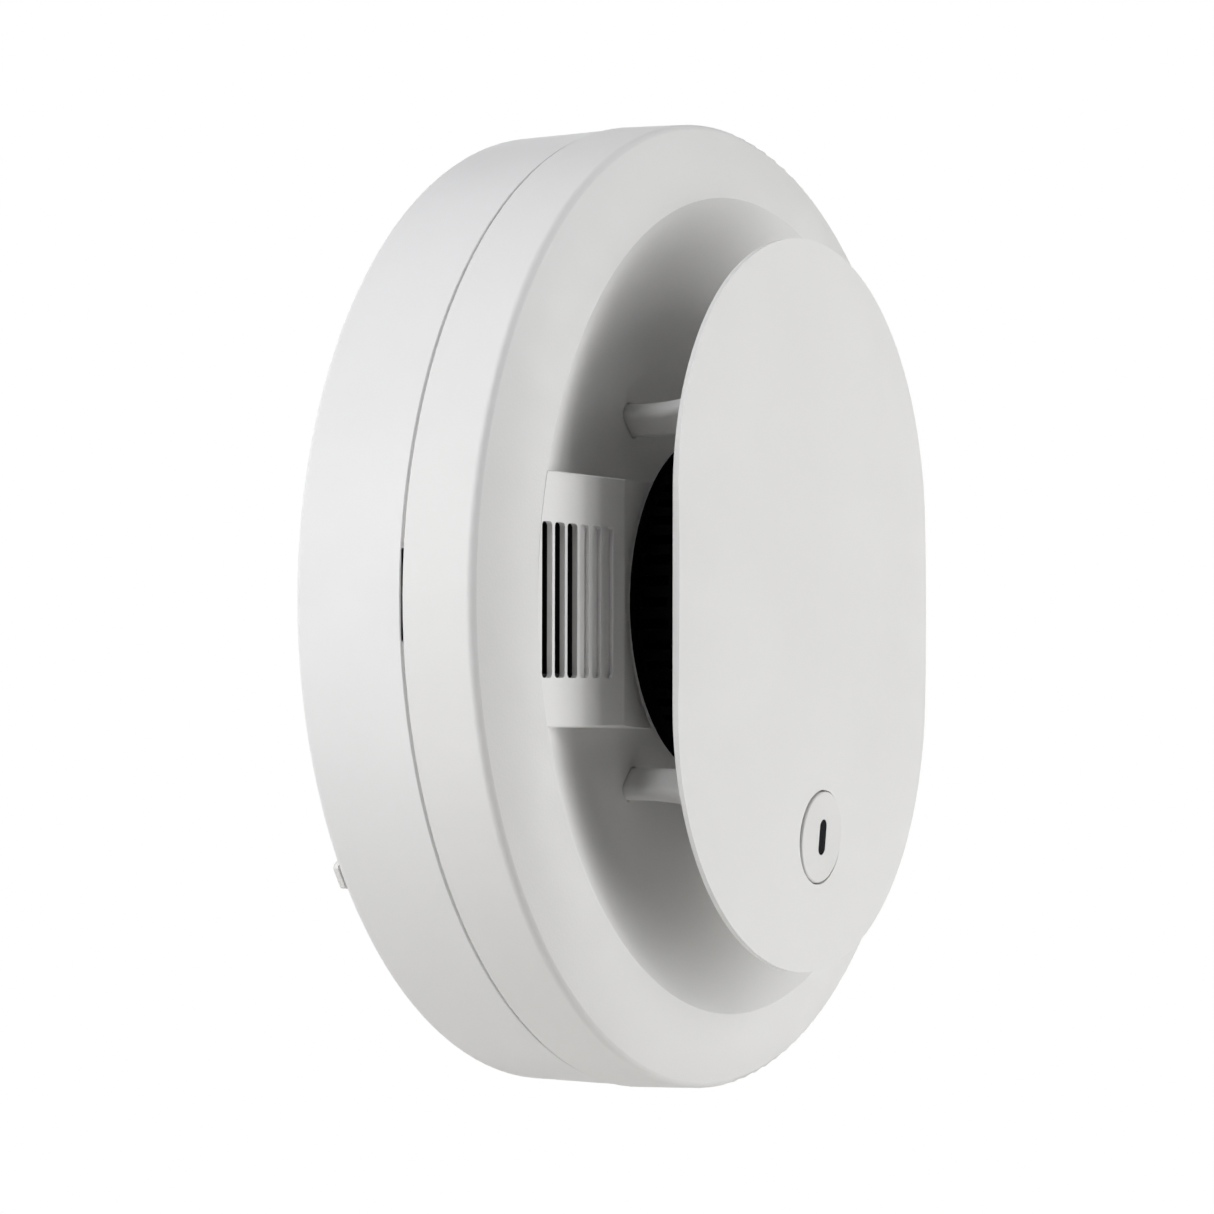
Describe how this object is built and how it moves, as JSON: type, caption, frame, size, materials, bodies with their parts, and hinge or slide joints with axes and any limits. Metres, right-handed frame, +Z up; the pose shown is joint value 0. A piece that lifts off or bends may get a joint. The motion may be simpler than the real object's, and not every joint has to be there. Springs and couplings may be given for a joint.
{
  "type": "smoke detector",
  "caption": "Round battery smoke alarm for a wall or ceiling: domed front plate on legs over an open bowl, test button, sounder vents and twist-lock bracket.",
  "frame": {"origin": "centre of the mounting bracket's back face, on the wall or ceiling", "axes": "-Y is the alarm's axis, away from the wall towards the front plate; +Z is up, with the test button at the bottom (-Z); +X is to the right as seen from the front"},
  "size_m": [0.1416, 0.0449, 0.1416],
  "materials": {
    "bracket_plastic": "moulded satin white",
    "housing_plastic": "moulded satin white",
    "cover_plastic": "fine moulded texture, white",
    "plate_plastic": "fine moulded texture, white",
    "button_plastic": "smooth satin white",
    "black_plastic": "moulded black",
    "spring_steel": "drawn wire",
    "lens_acrylic": "clear acrylic that reads dark",
    "chamber_plastic": "matt black, light absorbing",
    "screen_steel": "blackened etched sheet",
    "ir_epoxy": "dark tinted epoxy",
    "board_laminate": "green solder mask",
    "chip_epoxy": "moulded epoxy",
    "ferrite": "ferrite with enamelled winding",
    "capacitor_can": "heat-shrink sleeve",
    "switch_plastic": "moulded dark grey",
    "led_package": "white ceramic-filled package",
    "horn_plastic": "moulded black",
    "brass_disc": "rolled brass",
    "ceramic_disc": "fired ceramic with silvered face",
    "cell_wrap": "printed-free shrink wrap",
    "nickel_tab": "nickel strip",
    "red_wire": "silicone insulation",
    "black_wire": "silicone insulation",
    "slider_plastic": "moulded orange",
    "zinc_screw": "zinc-plated steel"
  },
  "bodies": {
    "bracket": {"mounting_bracket": "bracket_plastic"},
    "alarm": {"rear_housing": "housing_plastic", "front_cover": "cover_plastic", "front_plate": "plate_plastic", "button_spring": "spring_steel", "chamber_base": "chamber_plastic", "chamber_labyrinth": "chamber_plastic", "insect_screen": "screen_steel", "ir_led": "ir_epoxy", "photodiode": "ir_epoxy", "circuit_board": "board_laminate", "microcontroller": "chip_epoxy", "sounder_driver": "chip_epoxy", "inductor": "ferrite", "capacitors": "capacitor_can", "tact_switch": "switch_plastic", "status_led": "led_package", "sounder_housing": "horn_plastic", "piezo_plate": "brass_disc", "piezo_ceramic": "ceramic_disc", "battery_cell": "cell_wrap", "cell_holder": "black_plastic", "cell_tabs": "nickel_tab", "positive_lead": "red_wire", "negative_lead": "black_wire", "slide_switch": "switch_plastic", "housing_screws": "zinc_screw", "board_screws": "zinc_screw"},
    "button": {"test_button": "button_plastic", "button_stem": "black_plastic", "light_pipe": "lens_acrylic"},
    "plunger": {"switch_plunger": "black_plastic"},
    "slider": {"activation_slider": "slider_plastic"}
  },
  "joints": [
    {"name": "twist_lock", "type": "hinge", "parent": "bracket", "child": "alarm", "pos_m": [0, 0, 0], "axis": [0, -1, 0], "range_deg": [0, 12]},
    {"name": "button_press", "type": "slide", "parent": "alarm", "child": "button", "axis": [0, 1, 0], "range_m": [0, 0.0006], "stiffness_N_per_m": 1500, "deforming": ["button_spring"]},
    {"name": "plunger_press", "type": "slide", "parent": "alarm", "child": "plunger", "axis": [0, 1, 0], "range_m": [0, 0.0006]},
    {"name": "slider_shift", "type": "slide", "parent": "alarm", "child": "slider", "axis": [1, 0, 0], "range_m": [0, 0.0051]}
  ],
  "couplings": [
    {"joint": "plunger_press", "follows": "button_press", "ratio": 1},
    {"joint": "slider_shift", "follows": "twist_lock", "m_per_rad": 0.024}
  ]
}
